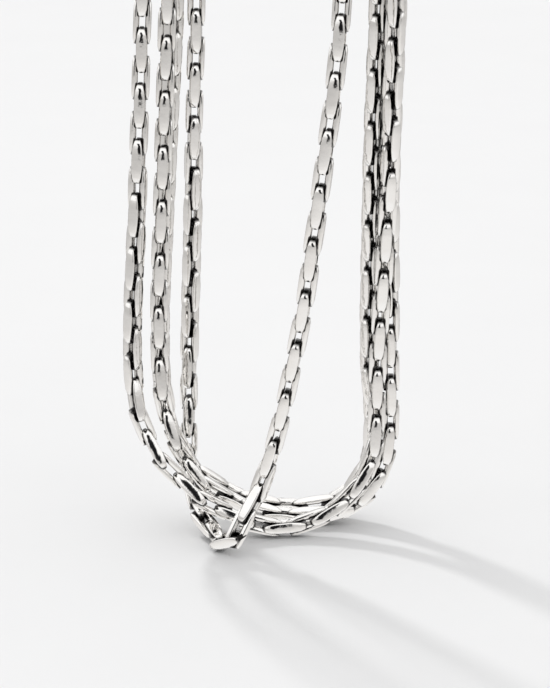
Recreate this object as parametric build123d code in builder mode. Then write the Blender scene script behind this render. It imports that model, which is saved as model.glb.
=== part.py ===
from build123d import *
import math
import os

# A necklace of four strands of one polished chain, hanging from its fastening.
# The origin is the middle of the fastening's underside, where it sits on what holds it up.
# +Z is up, X runs across the loop, and Y runs from the front of the loop to its back.
# All sizes are in millimetres and all angles in degrees.

# One link of the chain: a closed ring with barrel-shaped sides and pinched ends.
link_length = 5.16
link_width = 2.0
shoulder_width = 1.7
shoulder_height = 1.75
tip_width = 0.84
side_thickness = 0.6
side_across = 1.0
side_bevel = 0.2
end_thickness = 0.93
end_across = 0.4
tip_across = 0.16
pinch_length = 0.7

# Free play between the ends of two joined links, and how far a bend's pivot lies from the middle of
# the play, towards the end that turns.
link_play = 0.17
pivot_shift = 0.38

# The fastening: an arched plate with an eye at both ends for each strand.
clasp_inner_radius = 8.0
clasp_thickness = 1.6
clasp_half_angle = 65
clasp_edge_round = 0.45
clasp_margin = 1.6
lane_pitch = 2.6
eye_sunk = 0.3

# The gap between a plain round strand and its eye.
eye_clearance = 0.13

# The share of a run that the bend at its end takes up.
bend_share = 0.45

slot_width = link_width - 2 * side_thickness
slot_length = link_length - 2 * end_thickness
link_pitch = slot_length - link_play
eye_reach = link_length / 2 - eye_sunk
clasp_mid_radius = clasp_inner_radius + clasp_thickness / 2
strand_diameter = link_width

# Each strand's lane at the fastening, from the front one to the back one.
strand_names = ["strand_a", "strand_b", "strand_c", "strand_d"]
lanes = {name: (i - (len(strand_names) - 1) / 2) * lane_pitch for i, name in enumerate(strand_names)}

# The way of each strand between its two ends: down the left side, round the bottom and up the right
# side. The points are chosen by hand, and each bend passes a little inside its point.
routes = {
    "strand_a": [
        (-10.8, -3.9, -10.3),
        (-12.0, -3.8, -18.0),
        (-12.9, -3.4, -30.0),
        (-13.4, -2.3, -50.0),
        (-13.5, -0.6, -78.0),
        (-13.6, 1.2, -106.0),
        (-13.9, 2.6, -133.0),
        (-14.6, 2.2, -147.5),
        (-15.0, 2.0, -158.5),
        (-15.6, 2.0, -167.5),
        (-15.8, 2.0, -174.8),
        (-15.4, 2.0, -180.9),
        (-13.4, 2.0, -185.7),
        (-9.7, 2.0, -190.1),
        (-5.3, 2.0, -193.3),
        (-0.4, 2.0, -195.0),
        (3.2, 2.3, -194.9),
        (6.4, 2.9, -193.85),
        (9.15, 3.5, -191.9),
        (11.15, 4.0, -189.25),
        (12.25, 4.3, -186.05),
        (12.4, 4.3, -181.6),
        (12.35, 3.7, -175.7),
        (12.6, 2.6, -169.2),
        (12.95, 1.35, -162.8),
        (13.1, 0.2, -156.6),
        (13.35, -1.1, -150.4),
        (13.4, -2.4, -144.1),
        (13.5, -3.5, -138.0),
        (13.65, -4.4, -131.8),
        (13.7, -5.0, -124.0),
        (13.75, -5.2, -104.0),
        (13.8, -4.9, -78.0),
        (13.5, -4.5, -50.0),
        (12.9, -4.2, -30.0),
        (12.0, -4.0, -18.0),
        (10.8, -3.9, -10.3),
    ],
    "strand_b": [
        (-10.8, -1.3, -10.3),
        (-11.9, -1.25, -18.0),
        (-12.5, -0.9, -30.0),
        (-12.3, 0.1, -50.0),
        (-11.8, 1.4, -78.0),
        (-11.4, 2.5, -106.0),
        (-11.2, 3.2, -133.0),
        (-11.75, 3.1, -144.5),
        (-12.2, 3.0, -157.0),
        (-12.7, 3.0, -167.5),
        (-12.75, 3.0, -175.0),
        (-12.4, 3.2, -180.3),
        (-11.4, 3.6, -184.1),
        (-10.0, 4.3, -187.4),
        (-8.2, 5.0, -190.2),
        (-5.7, 5.6, -192.6),
        (-1.8, 6.0, -194.5),
        (2.2, 6.2, -195.2),
        (5.7, 6.3, -195.2),
        (8.6, 6.4, -194.5),
        (11.1, 6.5, -192.9),
        (12.85, 6.6, -190.5),
        (13.85, 6.6, -187.4),
        (14.15, 6.2, -182.8),
        (14.0, 5.5, -176.5),
        (13.85, 4.7, -169.4),
        (13.7, 3.7, -163.0),
        (13.55, 2.65, -157.0),
        (13.5, 1.35, -150.8),
        (13.6, 0.1, -144.4),
        (13.75, -0.9, -138.0),
        (13.85, -1.8, -132.0),
        (13.95, -2.4, -124.0),
        (13.95, -2.55, -104.0),
        (13.9, -2.2, -78.0),
        (13.4, -1.7, -50.0),
        (12.8, -1.35, -30.0),
        (11.95, -1.3, -18.0),
        (10.8, -1.3, -10.3),
    ],
    "strand_c": [
        (-10.8, 1.3, -10.3),
        (-11.8, 1.4, -18.0),
        (-12.1, 1.7, -30.0),
        (-11.7, 2.7, -50.0),
        (-11.1, 4.0, -78.0),
        (-10.7, 5.0, -106.0),
        (-10.45, 5.6, -133.0),
        (-11.1, 5.5, -142.6),
        (-11.55, 5.4, -150.5),
        (-12.0, 5.35, -158.5),
        (-12.6, 5.4, -168.2),
        (-12.75, 5.5, -175.5),
        (-12.4, 5.7, -180.6),
        (-11.5, 6.2, -184.3),
        (-10.2, 6.8, -187.5),
        (-8.4, 7.4, -190.2),
        (-5.7, 8.1, -192.5),
        (-1.8, 8.6, -194.4),
        (2.4, 8.9, -195.1),
        (6.1, 9.0, -194.9),
        (8.8, 9.0, -193.7),
        (10.7, 8.8, -191.6),
        (11.8, 8.3, -188.7),
        (12.2, 7.6, -185.1),
        (12.0, 7.0, -181.2),
        (11.5, 6.3, -176.6),
        (11.4, 5.2, -169.5),
        (11.4, 3.9, -163.0),
        (11.4, 1.8, -156.8),
        (11.4, 0.1, -150.6),
        (11.5, -1.1, -144.4),
        (11.7, -2.1, -138.0),
        (11.85, -2.9, -132.0),
        (11.8, -3.5, -124.0),
        (11.5, -3.0, -104.0),
        (11.5, -1.4, -78.0),
        (12.1, 0.2, -50.0),
        (12.4, 1.2, -30.0),
        (11.85, 1.3, -18.0),
        (10.8, 1.3, -10.3),
    ],
    "strand_d": [
        (-10.8, 3.9, -10.3),
        (-11.7, 4.0, -18.0),
        (-11.7, 4.4, -30.0),
        (-10.8, 5.2, -50.0),
        (-9.6, 6.0, -78.0),
        (-8.7, 6.5, -106.0),
        (-8.05, 6.8, -133.5),
        (-8.6, 7.1, -146.4),
        (-8.8, 7.3, -157.0),
        (-9.2, 7.6, -168.0),
        (-9.5, 8.2, -177.0),
        (-9.65, 9.6, -184.9),
        (-9.6, 10.4, -189.2),
        (-9.4, 8.9, -192.7),
        (-9.0, 5.6, -194.6),
        (-8.3, 1.9, -195.0),
        (-7.4, -0.7, -195.1),
        (-6.4, -2.4, -195.1),
        (-5.2, -3.3, -194.9),
        (-3.9, -3.4, -194.2),
        (-2.95, -2.8, -192.8),
        (-2.35, -2.2, -191.1),
        (-1.6, -1.9, -189.2),
        (-0.6, -2.2, -186.3),
        (0.8, -3.4, -181.9),
        (2.15, -4.9, -175.1),
        (3.2, -6.2, -169.3),
        (4.2, -7.6, -162.8),
        (5.0, -8.8, -155.7),
        (5.95, -9.4, -148.4),
        (6.9, -9.7, -140.7),
        (7.8, -9.5, -131.0),
        (8.1, -8.2, -117.0),
        (8.3, -5.4, -98.0),
        (8.9, -2.0, -76.0),
        (10.2, 2.0, -50.0),
        (11.6, 3.6, -30.0),
        (11.8, 3.9, -18.0),
        (10.8, 3.9, -10.3),
    ],
}


def eye_place(side, lane):
    """The end of the arched plate on one side, at one lane, facing the way its strand leaves."""
    angle = math.radians(clasp_half_angle)
    centre_z = -clasp_inner_radius
    x = side * clasp_mid_radius * math.sin(angle)
    z = centre_z + clasp_mid_radius * math.cos(angle)
    away = Vector(side * math.cos(angle), 0, -math.sin(angle))
    return Plane(origin=(x, lane, z), x_dir=(0, 1, 0), z_dir=away)


def strand_points(name, start):
    """A strand's points from one eye to the other, starting the given length beyond the plate."""
    left = eye_place(-1, lanes[name])
    right = eye_place(1, lanes[name])
    ends = [place.origin + place.z_dir * start for place in (left, right)]
    return [ends[0], *(Vector(*point) for point in routes[name]), ends[1]]


def bend_radii(points):
    """The radius of the bend at each inner point, as large as its two runs allow."""
    radii = []
    for before, here, after in zip(points, points[1:], points[2:]):
        coming = here - before
        going = after - here
        half_turn = math.radians(coming.get_angle(going)) / 2
        shorter = min(coming.length, going.length)
        radii.append(bend_share * shorter / math.tan(half_turn))
    return radii


os.makedirs("parts", exist_ok=True)

# One link, standing along Z with its opening along Y. Its outline is cut from a bar, its long corners
# are bevelled, and both ends are pinched so that they pass through the next link.
half_length = link_length / 2
with BuildPart() as link:
    with BuildSketch(Plane.XZ):
        with BuildLine():
            Polyline(
                (tip_width / 2, half_length),
                (shoulder_width / 2, shoulder_height),
                (link_width / 2, 0),
                (shoulder_width / 2, -shoulder_height),
                (tip_width / 2, -half_length),
                (-tip_width / 2, -half_length),
                (-shoulder_width / 2, -shoulder_height),
                (-link_width / 2, 0),
                (-shoulder_width / 2, shoulder_height),
                (-tip_width / 2, half_length),
                close=True,
            )
        make_face()
        Rectangle(slot_width, slot_length, mode=Mode.SUBTRACT)
    extrude(amount=side_across / 2, both=True)
    with BuildSketch(Plane.XY):
        Rectangle(link_width, side_across)
        chamfer(vertices(), length=side_bevel)
    extrude(amount=half_length, both=True, mode=Mode.INTERSECT)
    with BuildSketch(Plane.YZ):
        with BuildLine():
            Polyline(
                (side_across / 2, slot_length / 2 - pinch_length),
                (end_across / 2, slot_length / 2),
                (tip_across / 2, half_length),
                (-tip_across / 2, half_length),
                (-end_across / 2, slot_length / 2),
                (-side_across / 2, slot_length / 2 - pinch_length),
                (-side_across / 2, pinch_length - slot_length / 2),
                (-end_across / 2, -slot_length / 2),
                (-tip_across / 2, -half_length),
                (tip_across / 2, -half_length),
                (end_across / 2, -slot_length / 2),
                (side_across / 2, pinch_length - slot_length / 2),
                close=True,
            )
        make_face()
    extrude(amount=link_width, both=True, mode=Mode.INTERSECT)

# The fastening sits over its support as an arch. An eye for each strand is soldered into both ends:
# one link whose inner end is sunk in the plate, lying across the loop.
clasp_width = (len(strand_names) - 1) * lane_pitch + 2 * clasp_margin
arch_centre = (0, -clasp_inner_radius)
arch_start = 90 - clasp_half_angle
arch_sweep = 2 * clasp_half_angle
with BuildPart() as clasp:
    with BuildSketch(Plane.XZ):
        with BuildLine():
            inside = CenterArc(arch_centre, clasp_inner_radius, arch_start, arch_sweep)
            outside = CenterArc(arch_centre, clasp_inner_radius + clasp_thickness, arch_start, arch_sweep)
            Line(inside @ 0, outside @ 0)
            Line(inside @ 1, outside @ 1)
        make_face()
    extrude(amount=clasp_width / 2, both=True)
    fillet(clasp.edges().filter_by(GeomType.CIRCLE), radius=clasp_edge_round)
    for side in (-1, 1):
        for lane in lanes.values():
            eye = eye_place(side, lane).offset(-eye_sunk)
            add(link.part.moved(eye.location))
clasp.part.label = "clasp"
export_step(clasp.part, "parts/clasp.step", write_pcurves=False)

# The front strand is made of its real links, each turned a quarter from the last. A link that stands
# in the loop's own plane turns about the end bars of the links beside it, so its pivots are nearer
# together than those of a link that lies across.
with BuildLine() as way:
    points = strand_points("strand_a", 0)
    FilletPolyline(*points, radius=bend_radii(points))
way_a = way.wire()
upright_span = link_pitch - 2 * pivot_shift
across_span = link_pitch + 2 * pivot_shift
first_pivot = across_span / 2 - eye_sunk
room = way_a.length - 2 * first_pivot - upright_span
pair_count = round(room / (upright_span + across_span))
fit = (way_a.length - 2 * first_pivot) / (pair_count * (upright_span + across_span) + upright_span)

link_places = []
mark = first_pivot
for i in range(2 * pair_count + 1):
    upright = i % 2 == 0
    next_mark = mark + (upright_span if upright else across_span) * fit
    start = way_a.position_at(mark, position_mode=PositionMode.LENGTH)
    end = way_a.position_at(next_mark, position_mode=PositionMode.LENGTH)
    along = end - start
    width_way = along.cross(Vector(0, 1, 0)) if upright else Vector(0, 1, 0)
    place = Plane(origin=(start + end) / 2, x_dir=width_way, z_dir=along)
    link_places.append(place.location)
    mark = next_mark

with BuildPart() as strand_a:
    with Locations(*link_places):
        add(link.part)
strand_a.part.label = "strand_a"
export_step(strand_a.part, "parts/strand_a.step", write_pcurves=False)
print("strand_a", len(link_places), "links, pitch", round(link_pitch * fit, 4))
print("strand_a radii", [round(r, 1) for r in bend_radii(points)])

# The other three strands are plain runs of the chain's width, from just outside one eye to the other.
for name in strand_names[1:]:
    points = strand_points(name, eye_reach + eye_clearance)
    radii = bend_radii(points)
    with BuildPart() as strand:
        with BuildLine() as way:
            FilletPolyline(*points, radius=radii)
        with BuildSketch(Plane(origin=points[0], z_dir=points[1] - points[0])):
            Circle(strand_diameter / 2)
        sweep(path=way.wire())
    strand.part.label = name
    export_step(strand.part, f"parts/{name}.step", write_pcurves=False)
    section = math.pi * (strand_diameter / 2) ** 2
    share = strand.part.volume / (section * way.wire().length)
    print(name, "length", round(way.wire().length, 1), "volume share", round(share, 4))
    print(name, "radii", [round(r, 1) for r in radii])
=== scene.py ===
import bpy
import math
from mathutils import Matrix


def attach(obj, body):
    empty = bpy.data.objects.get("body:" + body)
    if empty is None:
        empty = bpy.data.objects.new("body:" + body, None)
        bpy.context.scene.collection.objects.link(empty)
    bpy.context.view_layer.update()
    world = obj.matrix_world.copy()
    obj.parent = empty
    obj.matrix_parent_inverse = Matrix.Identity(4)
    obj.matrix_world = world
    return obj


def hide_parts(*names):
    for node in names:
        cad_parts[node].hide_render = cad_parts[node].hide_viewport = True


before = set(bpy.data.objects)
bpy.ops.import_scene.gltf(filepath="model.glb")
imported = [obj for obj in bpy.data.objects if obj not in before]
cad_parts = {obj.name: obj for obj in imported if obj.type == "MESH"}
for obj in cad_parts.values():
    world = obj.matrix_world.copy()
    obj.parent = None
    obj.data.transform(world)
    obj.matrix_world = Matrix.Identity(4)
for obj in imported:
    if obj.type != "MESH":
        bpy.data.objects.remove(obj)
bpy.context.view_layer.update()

# The camera stands a forearm's length in front of the loop's lowest bends and looks down on them by
# 17 degrees. Its lens is given in the photograph's own pixels, and its place in metres.
photo_height = 688
lens_in_pixels = 2625
film_height = 36
look_down = math.radians(17)
camera_place = (0.00057, -0.28489, -0.08482)
lens = bpy.data.cameras.new("camera")
lens.sensor_fit = "VERTICAL"
lens.sensor_height = film_height
lens.lens = lens_in_pixels / photo_height * film_height
lens.clip_start = 0.01
camera = bpy.data.objects.new("camera", lens)
camera.location = camera_place
camera.rotation_euler = (math.pi / 2 - look_down, 0, 0)
bpy.context.scene.collection.objects.link(camera)
bpy.context.scene.camera = camera


def put(tree, kind, values=None, **settings):
    """A node of one kind in a tree, with its settings, and its inputs set to values or joined to sockets."""
    made = tree.nodes.new(kind)
    for name, value in settings.items():
        setattr(made, name, value)
    for socket, value in (values or {}).items():
        if isinstance(value, bpy.types.NodeSocket):
            tree.links.new(value, made.inputs[socket])
        else:
            made.inputs[socket].default_value = value
    return made


# Polished silver. The whole necklace was tumbled and buffed after soldering, which leaves a bright, faintly
# warm metal with fine hairlines and soft waves. Black painted shade is laid on deep in the joints, and
# where metal lies closer to metal than the shade reach.
bright_silver = (0.955, 0.94, 0.92, 1)
worn_silver = (0.90, 0.88, 0.855, 1)
# The black of the painted shade in the joints and between close metal.
painted_shade_black = (0.02, 0.019, 0.018, 1)
shade_reach = 0.0012


def polish_marks():
    """Buffing and wear, as a group: how dull the metal is, its waves' height and its clouds of tarnish."""
    marks = bpy.data.node_groups.new("polish marks", "ShaderNodeTree")
    marks.interface.new_socket("Hairline Scale", in_out="INPUT", socket_type="NodeSocketFloat")
    marks.interface.new_socket("Brightest", in_out="INPUT", socket_type="NodeSocketFloat")
    marks.interface.new_socket("Dullest", in_out="INPUT", socket_type="NodeSocketFloat")
    marks.interface.new_socket("Roughness", in_out="OUTPUT", socket_type="NodeSocketFloat")
    marks.interface.new_socket("Height", in_out="OUTPUT", socket_type="NodeSocketFloat")
    marks.interface.new_socket("Tarnish", in_out="OUTPUT", socket_type="NodeSocketFloat")
    given = put(marks, "NodeGroupInput").outputs
    place = put(marks, "ShaderNodeTexCoord").outputs["Object"]
    smear = put(marks, "ShaderNodeTexNoise", {"Vector": place, "Scale": 900.0, "Detail": 3.0})
    lengthways = put(marks, "ShaderNodeMapping", {"Vector": place, "Scale": (1.0, 1.0, 0.08)})
    hairlines = put(
        marks,
        "ShaderNodeTexNoise",
        {"Vector": lengthways.outputs["Vector"], "Scale": given["Hairline Scale"], "Detail": 4.0},
    )
    waves = put(marks, "ShaderNodeTexNoise", {"Vector": place, "Scale": 1500.0, "Detail": 2.0})
    fine = put(marks, "ShaderNodeMath", {0: hairlines.outputs["Fac"], 1: 0.12}, operation="MULTIPLY")
    height = put(
        marks,
        "ShaderNodeMath",
        {0: waves.outputs["Fac"], 1: fine.outputs["Value"]},
        operation="ADD",
    )
    cloud = put(marks, "ShaderNodeTexNoise", {"Vector": place, "Scale": 260.0, "Detail": 2.0})
    dullness = put(
        marks,
        "ShaderNodeMapRange",
        {
            "Value": smear.outputs["Fac"],
            "From Min": 0.35,
            "From Max": 0.7,
            "To Min": given["Brightest"],
            "To Max": given["Dullest"],
        },
    )
    stain = put(
        marks,
        "ShaderNodeMapRange",
        {"Value": cloud.outputs["Fac"], "From Min": 0.4, "From Max": 0.75},
    )
    put(
        marks,
        "NodeGroupOutput",
        {
            "Roughness": dullness.outputs["Result"],
            "Height": height.outputs["Value"],
            "Tarnish": stain.outputs["Result"],
        },
    )
    return marks


def silver(name, hairline_scale, brightest, dullest, waves):
    """Polished silver with its own hairlines, range of roughness and depth of soft waves in metres,
    blackened by painted shade in the joints and where metal lies close to metal.
    """
    material = bpy.data.materials.new(name)
    material.use_nodes = True
    tree = material.node_tree
    surface = tree.nodes["Principled BSDF"]
    surface.inputs["Metallic"].default_value = 1.0
    wear = put(
        tree,
        "ShaderNodeGroup",
        node_tree=bpy.data.node_groups.get("polish marks") or polish_marks(),
    )
    wear.inputs["Hairline Scale"].default_value = hairline_scale
    wear.inputs["Brightest"].default_value = brightest
    wear.inputs["Dullest"].default_value = dullest
    colour = put(
        tree,
        "ShaderNodeMix",
        {"Factor": wear.outputs["Tarnish"]},
        data_type="RGBA",
    )
    colour.inputs["A"].default_value = bright_silver
    colour.inputs["B"].default_value = worn_silver
    # Painted shade in the joints: the links' attribute says how deep in a joint each point lies, and deep is
    # its share of black.
    crevice_shade = put(tree, "ShaderNodeAttribute", attribute_name="crevice_shade").outputs["Fac"]
    deep = put(
        tree,
        "ShaderNodeMapRange",
        {"Value": crevice_shade, "From Min": 0.5, "From Max": 0.8},
        interpolation_type="SMOOTHSTEP",
    )
    # Painted shade from ambient occlusion, wherever metal lies closer to metal than the shade reach.
    occlusion_shade = put(tree, "ShaderNodeAmbientOcclusion", {"Distance": shade_reach}, samples=6).outputs["AO"]
    close_shade = put(
        tree,
        "ShaderNodeMapRange",
        {"Value": occlusion_shade, "From Min": 0.56, "From Max": 0.27},
        interpolation_type="SMOOTHSTEP",
    )
    shade_amount = put(
        tree,
        "ShaderNodeMath",
        {0: deep.outputs["Result"], 1: close_shade.outputs["Result"]},
        operation="MAXIMUM",
    )
    # The colour is mixed towards black by the greater of the two painted shades.
    shaded_colour = put(
        tree,
        "ShaderNodeMix",
        {"Factor": shade_amount.outputs["Value"], "A": colour.outputs["Result"]},
        data_type="RGBA",
    )
    shaded_colour.inputs["B"].default_value = painted_shade_black
    relief = put(
        tree,
        "ShaderNodeBump",
        {"Height": wear.outputs["Height"], "Strength": 1.0, "Distance": waves},
    )
    tree.links.new(shaded_colour.outputs["Result"], surface.inputs["Base Color"])
    tree.links.new(wear.outputs["Roughness"], surface.inputs["Roughness"])
    tree.links.new(relief.outputs["Normal"], surface.inputs["Normal"])
    return material


wave_depth = 0.00002
chain_silver = silver("chain silver", 9000.0, 0.05, 0.11, wave_depth)

# A link of the box chain: silver wire of a flattened section, bent into a long ring and soldered, with
# barrel sides. The sides are crowned outside and bevelled inside, so that each link nests in the next
# one, and both end turns are narrowed to pass through the next link's slot.
wire_breadth = 0.00122

# A quarter of the ring, from just above the middle of a side to the tip: half the width and the height
# outside, half the slot's width and the height inside, the share of the wire's breadth left there, and how
# much painted shade its outside and its inside get in the joint. Lengths are in metres.
quarter = [
    (0.001, 0.0008, 0.00034, 0.0006, 1.0, 0.0, 0.15),
    (0.00098, 0.0018, 0.00034, 0.0013, 0.84, 0.0, 0.9),
    (0.00085, 0.00242, 0.0003, 0.0016, 0.56, 0.66, 1.0),
    (0.0, 0.00264, 0.0, 0.00165, 0.4, 1.0, 1.0),
]

# Half of the wire's section, from the crown outside to the bevel inside: the share of the way in and the
# share of half the breadth.
half_section = [(0.0, 0.72), (0.1, 1.0), (1.0, 0.6)]


def make_link():
    """One link, standing along Z with its slot open along Y."""
    left_quarter = [(-row[0], row[1], -row[2], *row[3:]) for row in quarter[-2::-1]]
    upper = quarter + left_quarter
    lower = [(-row[0], -row[1], -row[2], -row[3], *row[4:]) for row in upper]
    rows = upper + lower
    section = half_section + [(way_in, -breadth) for way_in, breadth in reversed(half_section)]
    places = []
    crevice_shades = []
    for wide, high, slot, deep, share, outside, inside in rows:
        for way_in, breadth in section:
            x = wide + (slot - wide) * way_in
            z = high + (deep - high) * way_in
            places.append((x, breadth * share * wire_breadth / 2, z))
            # How much painted shade each point of the ring gets in the joint.
            crevice_shades.append(inside if way_in == 1.0 else outside)
    count = len(section)
    faces = []
    for i in range(len(rows)):
        here = i * count
        there = (i + 1) % len(rows) * count
        for j in range(count):
            after = (j + 1) % count
            faces.append((here + j, here + after, there + after, there + j))
    mesh = bpy.data.meshes.new("link")
    mesh.from_pydata(places, [], faces)
    mesh.shade_smooth()
    mesh.attributes.new("crevice_shade", "FLOAT", "POINT").data.foreach_set("value", crevice_shades)
    link = bpy.data.objects.new("link", mesh)
    bpy.context.scene.collection.objects.link(link)
    return link


# The tree that joins links into a strand. It walks along the strand's curve, one link for each step, and
# turns each link a quarter from the last. Low on the left the links are slack, and every second joint
# leans back there: the lean grows between these heights and these places across, in metres.
links_in_strand = 127
slack_lean = 0.00042
lean_starts_height, lean_full_height = -0.174, -0.182
lean_starts_across, lean_full_across = -0.0035, -0.0055
link_swing = 0.02


def chain_tree():
    """The nodes that hang one link after another along a curve."""
    tree = bpy.data.node_groups.new("chain of links", "GeometryNodeTree")
    face = tree.interface
    face.new_socket("Route", in_out="INPUT", socket_type="NodeSocketGeometry")
    face.new_socket("Link", in_out="INPUT", socket_type="NodeSocketObject")
    face.new_socket("Links", in_out="INPUT", socket_type="NodeSocketInt")
    face.new_socket("Lean", in_out="INPUT", socket_type="NodeSocketFloat")
    face.new_socket("Swing", in_out="INPUT", socket_type="NodeSocketFloat")
    face.new_socket("Seed", in_out="INPUT", socket_type="NodeSocketInt")
    face.new_socket("Metal", in_out="INPUT", socket_type="NodeSocketMaterial")
    face.new_socket("Strand", in_out="OUTPUT", socket_type="NodeSocketGeometry")
    given = put(tree, "NodeGroupInput").outputs
    number = put(tree, "GeometryNodeInputIndex").outputs["Index"]
    whole = put(tree, "GeometryNodeCurveLength", {"Curve": given["Route"]}).outputs["Length"]

    def maths(operation, first, second):
        return put(tree, "ShaderNodeMath", {0: first, 1: second}, operation=operation).outputs["Value"]

    def sample(way, value):
        wanted = {"Curves": given["Route"], "Length": way, "Value": value}
        return put(tree, "GeometryNodeSampleCurve", wanted, mode="LENGTH").outputs

    def part_way(value, start, end):
        spread = {"Value": value, "From Min": start, "From Max": end}
        return put(tree, "ShaderNodeMapRange", spread).outputs["Result"]

    carried = put(tree, "GeometryNodeInputRadius").outputs["Radius"]

    def joint_at(count):
        """The place on the curve where the given number of links have been hung, and the way it faces."""
        even_way = maths("MULTIPLY", maths("DIVIDE", count, given["Links"]), whole)
        slip = maths("SUBTRACT", sample(even_way, carried)["Value"], 1.0)
        hung = sample(maths("ADD", even_way, slip), 0.0)
        axes = put(tree, "ShaderNodeSeparateXYZ", {"Vector": hung["Position"]}).outputs
        low = part_way(axes["Z"], lean_starts_height, lean_full_height)
        left = part_way(axes["X"], lean_starts_across, lean_full_across)
        side = maths("SUBTRACT", maths("MULTIPLY", maths("MODULO", count, 2.0), 2.0), 1.0)
        back = maths("MULTIPLY", maths("MULTIPLY", side, maths("MULTIPLY", low, left)), given["Lean"])
        aside = put(tree, "ShaderNodeCombineXYZ", {"Y": back}).outputs["Vector"]
        place = put(tree, "ShaderNodeVectorMath", {0: hung["Position"], 1: aside}, operation="ADD")
        return {"Position": place.outputs["Vector"], "Normal": hung["Normal"]}

    first = joint_at(number)
    last = joint_at(maths("ADD", number, 1.0))
    reach = put(
        tree,
        "ShaderNodeVectorMath",
        {0: last["Position"], 1: first["Position"]},
        operation="SUBTRACT",
    ).outputs["Vector"]
    middle = put(
        tree,
        "ShaderNodeMix",
        {"A": last["Position"], "B": first["Position"]},
        data_type="VECTOR",
    )
    facing = put(
        tree,
        "FunctionNodeAxesToRotation",
        {"Primary Axis": reach, "Secondary Axis": first["Normal"]},
        primary_axis="Z",
        secondary_axis="X",
    ).outputs["Rotation"]
    quarters = maths("MODULO", maths("ADD", number, 1.0), 2.0)
    quarter_round = put(
        tree,
        "FunctionNodeAxisAngleToRotation",
        {"Axis": (0, 0, 1), "Angle": maths("MULTIPLY", quarters, math.pi / 2)},
    ).outputs["Rotation"]
    turned = put(
        tree,
        "FunctionNodeRotateRotation",
        {"Rotation": facing, "Rotate By": quarter_round},
        rotation_space="LOCAL",
    ).outputs["Rotation"]
    chance = put(tree, "FunctionNodeRandomValue", {"Seed": given["Seed"]}, data_type="FLOAT_VECTOR")
    chance.inputs["Min"].default_value = (-1, -1, -1)
    chance.inputs["Max"].default_value = (1, 1, 1)
    swing = put(
        tree,
        "ShaderNodeVectorMath",
        {0: chance.outputs["Value"], "Scale": given["Swing"]},
        operation="SCALE",
    ).outputs["Vector"]
    nudge = put(tree, "FunctionNodeEulerToRotation", {"Euler": swing}).outputs["Rotation"]
    settled = put(
        tree,
        "FunctionNodeRotateRotation",
        {"Rotation": turned, "Rotate By": nudge},
        rotation_space="LOCAL",
    ).outputs["Rotation"]
    row = put(tree, "GeometryNodeMeshLine", {"Count": given["Links"]}).outputs["Mesh"]
    stations = put(
        tree,
        "GeometryNodeSetPosition",
        {"Geometry": row, "Position": middle.outputs["Result"]},
    ).outputs["Geometry"]
    link = put(tree, "GeometryNodeObjectInfo", {"Object": given["Link"]}).outputs["Geometry"]
    hung = put(
        tree,
        "GeometryNodeInstanceOnPoints",
        {"Points": stations, "Instance": link, "Rotation": settled},
    ).outputs["Instances"]
    solid = put(tree, "GeometryNodeRealizeInstances", {"Geometry": hung}).outputs["Geometry"]
    metal = put(tree, "GeometryNodeSetMaterial", {"Geometry": solid, "Material": given["Metal"]})
    put(tree, "NodeGroupOutput", {"Strand": metal.outputs["Geometry"]})
    return tree


link = make_link()
links_on_curve = chain_tree()


def hang_strand(name, route, seed):
    """A strand of links along a route, as one plain mesh that stands for its frame node.

    Each row of a route is a place in metres, the links' turn there in degrees, and the way in millimetres
    that the links have slipped along the strand. The curve carries the slip in its radius, as 1 plus the
    slip in metres.
    """
    curve = bpy.data.curves.new(name + "_route", "CURVE")
    curve.dimensions = "3D"
    curve.resolution_u = 16
    line = curve.splines.new("NURBS")
    line.points.add(len(route) - 1)
    for point, (x, y, z, turn, slip) in zip(line.points, route):
        point.co = (x, y, z, 1)
        point.tilt = math.radians(turn)
        point.radius = 1 + slip / 1000
    line.order_u = 3
    line.use_endpoint_u = True
    guide = bpy.data.objects.new(name + "_route", curve)
    bpy.context.scene.collection.objects.link(guide)
    hanging = guide.modifiers.new("links", "NODES")
    hanging.node_group = links_on_curve
    values = {
        "Link": link,
        "Links": links_in_strand,
        "Lean": slack_lean,
        "Swing": link_swing,
        "Seed": seed,
        "Metal": chain_silver,
    }
    for item in links_on_curve.interface.items_tree:
        if item.name in values:
            hanging[item.identifier] = values[item.name]
    graph = bpy.context.evaluated_depsgraph_get()
    mesh = bpy.data.meshes.new_from_object(guide.evaluated_get(graph))
    mesh.name = name + "_links"
    strand = bpy.data.objects.new(name + "_links", mesh)
    bpy.context.scene.collection.objects.link(strand)
    bpy.data.objects.remove(guide)
    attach(strand, "root")
    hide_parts(name)
    return strand


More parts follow.
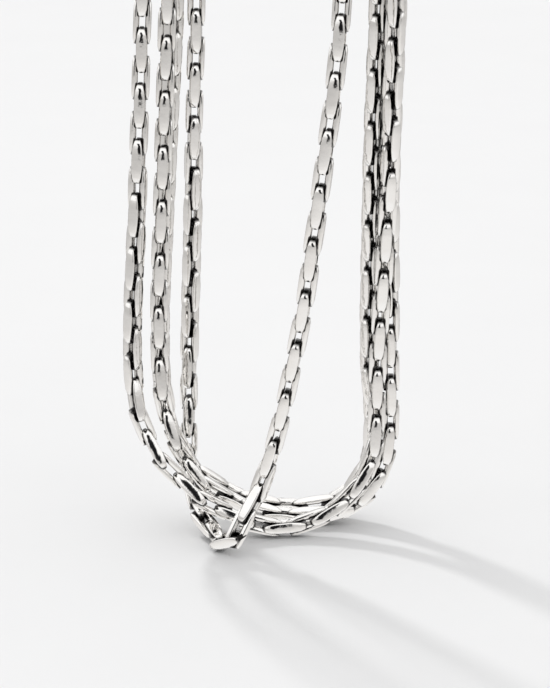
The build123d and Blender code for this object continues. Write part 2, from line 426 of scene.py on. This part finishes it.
# The front strand. Its links face the front high on the left and round the bottom, and are turned by half
# of a quarter between the two and up the right side. They have slipped together in the right bend.
front_route = [
    (-0.008509, -0.0039, -0.005425, 0, 0),
    (-0.0108, -0.0039, -0.0103, -9, 0.12),
    (-0.012, -0.0038, -0.018, -16, 0.22),
    (-0.0129, -0.0034, -0.03, -27, 0.36),
    (-0.0134, -0.0023, -0.05, -45, 0.6),
    (-0.0135, -0.0006, -0.078, -68, 0.85),
    (-0.0136, 0.0012, -0.106, -90, 1.1),
    (-0.0139, 0.0026, -0.133, -90, 1.15),
    (-0.0146, 0.0022, -0.1475, -90, 1.17),
    (-0.015, 0.002, -0.1585, -52, 1.19),
    (-0.0156, 0.002, -0.1675, -52, 1.2),
    (-0.0158, 0.002, -0.1748, -42, 1.22),
    (-0.0154, 0.002, -0.1809, -12, 1.23),
    (-0.0134, 0.002, -0.1857, -14, 1.45),
    (-0.0097, 0.002, -0.1901, -14, 1.65),
    (-0.0053, 0.002, -0.1933, -8, 1.65),
    (-0.0004, 0.002, -0.195, -4, 1.5),
    (0.0032, 0.0023, -0.1949, -6, 1.15),
    (0.0064, 0.0029, -0.19385, -11, 0.75),
    (0.00915, 0.0035, -0.1919, -11, 0.33),
    (0.01115, 0.004, -0.18925, -11, -0.1),
    (0.01225, 0.0043, -0.18605, -11, -0.5),
    (0.0124, 0.0043, -0.1816, -11, -1.01),
    (0.01235, 0.0037, -0.1757, -11, -1.03),
    (0.0126, 0.0026, -0.1692, -11, -1.04),
    (0.01295, 0.00135, -0.1628, -11, -1.06),
    (0.0131, 0.0002, -0.1566, -2, -1.07),
    (0.01335, -0.0011, -0.1504, 22, -1.09),
    (0.0134, -0.0024, -0.1441, 40, -1.1),
    (0.0135, -0.0035, -0.138, 45, -1.12),
    (0.01365, -0.0044, -0.1318, 45, -1.13),
    (0.0137, -0.005, -0.124, 45, -1.15),
    (0.01375, -0.0052, -0.104, 45, -1.2),
    (0.0138, -0.0049, -0.078, 45, -0.91),
    (0.0135, -0.0045, -0.05, 29, -0.6),
    (0.0129, -0.0042, -0.03, 17, -0.36),
    (0.012, -0.004, -0.018, 10, -0.22),
    (0.0108, -0.0039, -0.0103, 6, -0.12),
    (0.008509, -0.0039, -0.005425, 0, 0),
]
hang_strand("strand_a", front_route, 1)

# The second strand, to the right of the front one and level with it. Its links face the front down the left
# side and round the bottom, and are turned by half of a quarter up the right side.
second_route = [
    (-0.008509, -0.0013, -0.005425, 0, 0),
    (-0.0108, -0.0013, -0.0103, 0, -0.12),
    (-0.0119, -0.00125, -0.018, 0, -0.22),
    (-0.0125, -0.0009, -0.03, 0, -0.36),
    (-0.0123, 0.0001, -0.05, 0, -0.6),
    (-0.0118, 0.0014, -0.078, 0, -0.85),
    (-0.0114, 0.0025, -0.106, 0, -1.1),
    (-0.0112, 0.0032, -0.133, 0, -1.2),
    (-0.01175, 0.0031, -0.1445, 0, -1.22),
    (-0.0122, 0.003, -0.157, 0, -1.25),
    (-0.0127, 0.003, -0.1675, 0, -1.27),
    (-0.01275, 0.003, -0.175, -6, -1.29),
    (-0.0124, 0.0032, -0.1803, -12, -1.3),
    (-0.0114, 0.0036, -0.1841, -14, -1.02),
    (-0.01, 0.0043, -0.1874, -14, -0.73),
    (-0.0082, 0.005, -0.1902, -12, -0.5),
    (-0.0057, 0.0056, -0.1926, 0, -0.47),
    (-0.0018, 0.006, -0.1945, 0, -0.46),
    (0.0022, 0.0062, -0.1952, 0, -0.84),
    (0.0057, 0.0063, -0.1952, 0, -0.84),
    (0.0086, 0.0064, -0.1945, 0, -1),
    (0.0111, 0.0065, -0.1929, -8, -1.4),
    (0.01285, 0.0066, -0.1905, -11, -1.78),
    (0.01385, 0.0066, -0.1874, -11, -2.15),
    (0.01415, 0.0062, -0.1828, -11, -2.19),
    (0.014, 0.0055, -0.1765, -14, -2.19),
    (0.01385, 0.0047, -0.1694, -34, -2.18),
    (0.0137, 0.0037, -0.163, -51, -2.17),
    (0.01355, 0.00265, -0.157, -51, -2.16),
    (0.0135, 0.00135, -0.1508, -51, -2.16),
    (0.0136, 0.0001, -0.1444, -51, -2.15),
    (0.01375, -0.0009, -0.138, -51, -2.14),
    (0.01385, -0.0018, -0.132, -51, -2.13),
    (0.01395, -0.0024, -0.124, -51, -2.12),
    (0.01395, -0.00255, -0.104, -51, -2.1),
    (0.0139, -0.0022, -0.078, -40, -1.67),
    (0.0134, -0.0017, -0.05, -26, -1.2),
    (0.0128, -0.00135, -0.03, -15, -0.72),
    (0.01195, -0.0013, -0.018, -8, -0.43),
    (0.0108, -0.0013, -0.0103, 0, -0.25),
    (0.008509, -0.0013, -0.005425, 0, 0),
]
hang_strand("strand_b", second_route, 2)

# The third strand, behind the second. Its links are turned by half of a quarter on both sides, and face the
# front along the bottom.
third_route = [
    (-0.008509, 0.0013, -0.005425, 0, 0),
    (-0.0108, 0.0013, -0.0103, -6, -0.12),
    (-0.0118, 0.0014, -0.018, -10, -0.21),
    (-0.0121, 0.0017, -0.03, -17, -0.35),
    (-0.0117, 0.0027, -0.05, -29, -0.58),
    (-0.0111, 0.004, -0.078, -45, -0.9),
    (-0.0107, 0.005, -0.106, -45, -0.93),
    (-0.01045, 0.0056, -0.133, -45, -0.95),
    (-0.0111, 0.0055, -0.1426, -45, -0.96),
    (-0.01155, 0.0054, -0.1505, -45, -0.96),
    (-0.012, 0.00535, -0.1585, -45, -0.97),
    (-0.0126, 0.0054, -0.1682, -45, -0.98),
    (-0.01275, 0.0055, -0.1755, -45, -0.99),
    (-0.0124, 0.0057, -0.1806, -27, -0.99),
    (-0.0115, 0.0062, -0.1843, -14, -0.99),
    (-0.0102, 0.0068, -0.1875, -6, -1),
    (-0.0084, 0.0074, -0.1902, 0, -0.97),
    (-0.0057, 0.0081, -0.1925, 0, -0.69),
    (-0.0018, 0.0086, -0.1944, 0, -0.32),
    (0.0024, 0.0089, -0.1951, 0, 0.04),
    (0.0061, 0.009, -0.1949, 0, 0.35),
    (0.0088, 0.009, -0.1937, 0, 0.61),
    (0.0107, 0.0088, -0.1916, 3, 0.89),
    (0.0118, 0.0083, -0.1887, 21, 1.1),
    (0.0122, 0.0076, -0.1851, 34, 1.1),
    (0.012, 0.007, -0.1812, 45, 1.09),
    (0.0115, 0.0063, -0.1766, 45, 1.09),
    (0.0114, 0.0052, -0.1695, 45, 1.08),
    (0.0114, 0.0039, -0.163, 45, 1.08),
    (0.0114, 0.0018, -0.1568, 45, 1.07),
    (0.0114, 0.0001, -0.1506, 45, 1.06),
    (0.0115, -0.0011, -0.1444, 45, 1.06),
    (0.0117, -0.0021, -0.138, 45, 1.05),
    (0.01185, -0.0029, -0.132, 45, 1.05),
    (0.0118, -0.0035, -0.124, 45, 1.04),
    (0.0115, -0.003, -0.104, 45, 1.02),
    (0.0115, -0.0014, -0.078, 45, 1),
    (0.0121, 0.0002, -0.05, 29, 0.64),
    (0.0124, 0.0012, -0.03, 17, 0.38),
    (0.01185, 0.0013, -0.018, 10, 0.23),
    (0.0108, 0.0013, -0.0103, 6, 0.13),
    (0.008509, 0.0013, -0.005425, 0, 0),
]
hang_strand("strand_c", third_route, 3)

# The innermost strand. It passes under the others, turns back up in the tightest bend, where one link
# points at the camera, and rises in front of them.
inner_route = [
    (-0.008509, 0.0039, -0.005425, 0, 0),
    (-0.0108, 0.0039, -0.0103, 9, 0.03),
    (-0.0117, 0.004, -0.018, 16, 0.05),
    (-0.0117, 0.0044, -0.03, 27, 0.11),
    (-0.0108, 0.0052, -0.05, 45, 0.17),
    (-0.0096, 0.006, -0.078, 68, 0.27),
    (-0.0087, 0.0065, -0.106, 90, 0.37),
    (-0.00805, 0.0068, -0.1335, 90, 0.27),
    (-0.0086, 0.0071, -0.1464, 90, 0.22),
    (-0.0088, 0.0079, -0.157, 50, -0.1),
    (-0.0092, 0.0084, -0.168, 40, -0.11),
    (-0.0095, 0.0086, -0.177, 8, -0.1),
    (-0.00965, 0.0094, -0.1849, 0, 0.05),
    (-0.00965, 0.0101, -0.1888, 0, 0.12),
    (-0.0094, 0.0087, -0.1919, 0, 0.14),
    (-0.0088, 0.006, -0.1935, 0, 0.13),
    (-0.0079, 0.0033, -0.1943, 0, 0.13),
    (-0.0069, 0.0008, -0.1948, 0, 0.15),
    (-0.006, -0.0014, -0.195, 0, 0.14),
    (-0.0051, -0.0034, -0.1949, 0, 0.4),
    (-0.0042, -0.0045, -0.1942, -8, 0.4),
    (-0.0035, -0.0042, -0.193, -10, 0.3),
    (-0.0028, -0.0034, -0.1914, -10, 0.2),
    (-0.0013, -0.0021, -0.1892, -8, 0.08),
    (-0.0004, -0.0024, -0.1863, 4, 0.09),
    (0.0008, -0.0034, -0.1819, 14, 0.29),
    (0.00215, -0.0049, -0.1751, 14, 0.6),
    (0.0032, -0.0062, -0.1693, 14, 0.84),
    (0.0042, -0.0076, -0.1628, 14, 1.09),
    (0.005, -0.0088, -0.1557, 14, 1.09),
    (0.00595, -0.0094, -0.1484, 14, 1.1),
    (0.0069, -0.0097, -0.1407, 16, 1.1),
    (0.0078, -0.0095, -0.131, 18, 1.12),
    (0.0081, -0.0082, -0.117, 21, 1.13),
    (0.0083, -0.0054, -0.098, 26, 1.14),
    (0.0089, -0.002, -0.076, 36, 0.86),
    (0.0102, 0.002, -0.05, 36, 0.52),
    (0.0116, 0.0036, -0.03, 36, 0.31),
    (0.0118, 0.0039, -0.018, 36, 0.2),
    (0.0108, 0.0039, -0.0103, 36, 0.11),
    (0.008509, 0.0039, -0.005425, 36, 0),
]
hang_strand("strand_d", inner_route, 4)
bpy.data.objects.remove(link)

# The fastening: one arched plate of the same silver, cast, filed and buffed, with the strands' eyes
# soldered into both ends. It keeps the frame's own solid, in a duller finish than the links.
clasp_silver = silver("clasp silver", 5000.0, 0.09, 0.2, wave_depth)
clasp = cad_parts["clasp"]
clasp.data.materials.clear()
clasp.data.materials.append(clasp_silver)

# The floor: a smooth, pale board under the lowest bends. Its front edge ends just outside the picture, and
# its paint is greyer nearer to the lamp, so that the board looks evenly lit outside the shadows.
floor_height = -0.1961
floor_left, floor_right = -1.2, 1.2
floor_front, floor_back = -0.06, 2.4
board_grey = (0.875, 0.875, 0.878, 1)
board_pale = (0.895, 0.895, 0.898, 1)
lamp_height = 0.107
lamp_place = (-0.079, 0.123, floor_height + lamp_height)
lamp_share = 1.09
board = bpy.data.meshes.new("floor")
board.from_pydata(
    [
        (floor_left, floor_front, floor_height),
        (floor_right, floor_front, floor_height),
        (floor_right, floor_back, floor_height),
        (floor_left, floor_back, floor_height),
    ],
    [],
    [(0, 1, 2, 3)],
)
floor = bpy.data.objects.new("floor", board)
bpy.context.scene.collection.objects.link(floor)
paint = bpy.data.materials.new("pale board")
paint.use_nodes = True
paint_surface = paint.node_tree.nodes["Principled BSDF"]
paint_surface.inputs["Roughness"].default_value = 0.8
paint_surface.inputs["Specular IOR Level"].default_value = 0.1
paint_place = put(paint.node_tree, "ShaderNodeTexCoord").outputs["Object"]
paint_grain = put(
    paint.node_tree,
    "ShaderNodeTexNoise",
    {"Vector": paint_place, "Scale": 60.0, "Detail": 3.0},
)
paint_colour = put(
    paint.node_tree,
    "ShaderNodeMix",
    {"Factor": paint_grain.outputs["Fac"]},
    data_type="RGBA",
)
paint_colour.inputs["A"].default_value = board_grey
paint_colour.inputs["B"].default_value = board_pale


def board_maths(operation, first, second):
    sockets = {0: first, 1: second}
    return put(paint.node_tree, "ShaderNodeMath", sockets, operation=operation).outputs["Value"]


from_lamp = put(
    paint.node_tree,
    "ShaderNodeVectorMath",
    {0: paint_place, 1: lamp_place},
    operation="DISTANCE",
).outputs["Value"]
# The lamp's light on a level board falls with the cube of the distance, from lamp_share of the room's
# light at the lamp's foot.
nearness = board_maths("POWER", board_maths("DIVIDE", lamp_height, from_lamp), 3.0)
light_here = board_maths("ADD", board_maths("MULTIPLY", nearness, lamp_share), 1.0)
evened = board_maths("DIVIDE", 1.0, light_here)
board_colour = put(
    paint.node_tree,
    "ShaderNodeVectorMath",
    {0: paint_colour.outputs["Result"], "Scale": evened},
    operation="SCALE",
)
paint.node_tree.links.new(board_colour.outputs["Vector"], paint_surface.inputs["Base Color"])
board.materials.append(paint)
floor.visible_glossy = False

# The light: a white room that is grey at the horizon, with a dark opening behind the camera, which the
# links mirror, and one small lamp far behind the loop's left side, whose soft shadows fall on the floor
# towards the front and the right.
room_strength = 1.05
wall_pale = (0.86, 0.86, 0.865, 1)
opening_black = (0.01, 0.01, 0.011, 1)
lamp_radius = 0.009
lamp_watts = 0.529
room = bpy.data.worlds.new("studio")
room.use_nodes = True
room_tree = room.node_tree
background = room_tree.nodes["Background"]
way = put(room_tree, "ShaderNodeTexCoord").outputs["Generated"]
axes = put(room_tree, "ShaderNodeSeparateXYZ", {"Vector": way}).outputs


def band(value, start, end):
    """A soft step from 0 to 1 as the value passes from the start to the end."""
    return put(
        room_tree,
        "ShaderNodeMapRange",
        {"Value": value, "From Min": start, "From Max": end},
        interpolation_type="SMOOTHSTEP",
    ).outputs["Result"]


def both(first, second):
    return put(room_tree, "ShaderNodeMath", {0: first, 1: second}, operation="MULTIPLY").outputs["Value"]


height = put(room_tree, "ShaderNodeMapRange", {"Value": axes["Z"], "From Min": -1.0, "From Max": 1.0})
room_light = put(room_tree, "ShaderNodeValToRGB", {"Fac": height.outputs["Result"]})
# Each tone is how far up the room it lies, from the floor under the camera to the ceiling, and its grey.
tones = [
    (0.1, 0.9),
    (0.22, 0.82),
    (0.32, 0.7),
    (0.39, 0.6),
    (0.45, 0.52),
    (0.54, 0.6),
    (0.62, 0.95),
    (0.8, 1.05),
]
ramp = room_light.color_ramp.elements
while len(ramp) < len(tones):
    ramp.new(0.5)
for step, (where, bright) in zip(ramp, tones):
    step.position = where
    warmth = 0.03 if bright < 0.9 else 0.0
    step.color = (bright, bright * (1 - warmth / 2), bright * (1 - warmth), 1)
aside = put(room_tree, "ShaderNodeMath", {0: axes["X"]}, operation="ABSOLUTE").outputs["Value"]
towards_camera = band(axes["Y"], -0.3, -0.6)
above_floor = band(axes["Z"], -0.13, -0.06)
under_ceiling = band(axes["Z"], 0.7, 0.6)
straight_ahead = both(towards_camera, band(aside, 0.25, 0.15))
opening = both(straight_ahead, both(above_floor, under_ceiling))
with_opening = put(
    room_tree,
    "ShaderNodeMix",
    {"Factor": opening, "A": room_light.outputs["Color"]},
    data_type="RGBA",
)
with_opening.inputs["B"].default_value = opening_black
seen = put(room_tree, "ShaderNodeLightPath").outputs["Is Camera Ray"]
wall = put(
    room_tree,
    "ShaderNodeMix",
    {"Factor": seen, "A": with_opening.outputs["Result"]},
    data_type="RGBA",
)
wall.inputs["B"].default_value = wall_pale
room_tree.links.new(wall.outputs["Result"], background.inputs["Color"])
background.inputs["Strength"].default_value = room_strength
bpy.context.scene.world = room

lamp_light = bpy.data.lights.new("lamp", "POINT")
lamp_light.shadow_soft_size = lamp_radius
lamp_light.energy = lamp_watts
lamp = bpy.data.objects.new("lamp", lamp_light)
lamp.location = lamp_place
lamp.visible_camera = False
lamp.visible_glossy = False
bpy.context.scene.collection.objects.link(lamp)

bpy.context.scene.view_settings.view_transform = "Standard"
